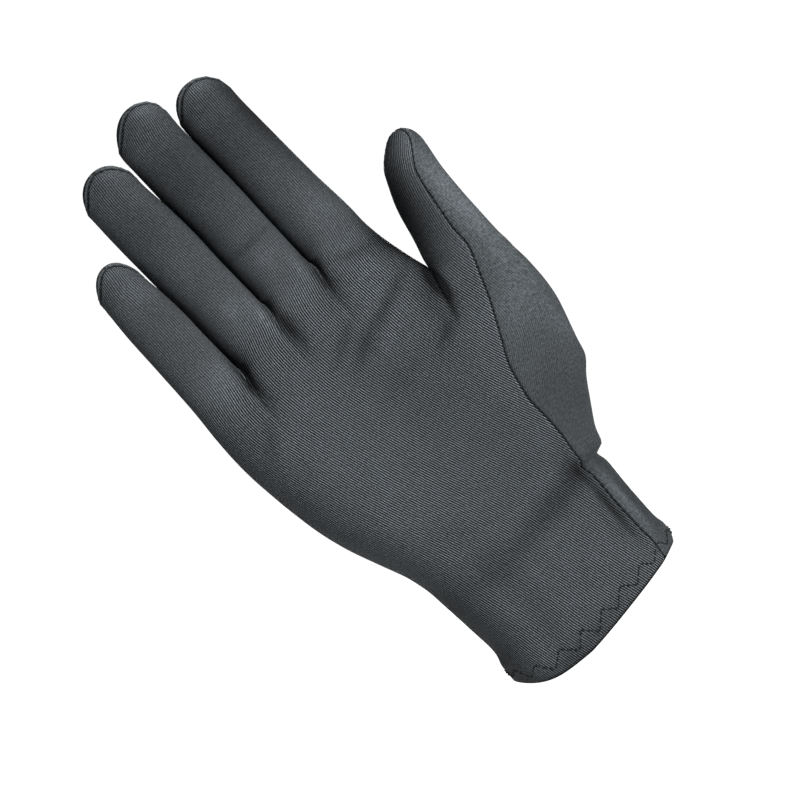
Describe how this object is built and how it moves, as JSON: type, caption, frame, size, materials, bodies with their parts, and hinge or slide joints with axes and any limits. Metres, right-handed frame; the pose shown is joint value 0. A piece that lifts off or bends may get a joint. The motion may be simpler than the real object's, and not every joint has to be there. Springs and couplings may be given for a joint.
{
  "type": "knitted glove liner, right hand",
  "caption": "Thin knitted glove liner for a right hand, a hollow shell of cloth with a palm panel, a back panel and a turned-in cuff hem.",
  "frame": {"origin": "centre of the wrist opening, level with the lowest point of the cuff's hem", "axes": "+Z from the wrist opening to the fingertips, the palm faces -Y, the thumb is on the +X side"},
  "size_m": [0.1195, 0.0543, 0.2408],
  "materials": {
    "palm_knit": "smooth fine jersey knit, charcoal grey, matt",
    "back_knit": "fine knit with a soft mottled grain, charcoal grey, matt"
  },
  "bodies": {
    "root": {"palm_panel": "palm_knit", "back_panel": "back_knit", "cuff_hem": "palm_knit"}
  },
  "joints": []
}
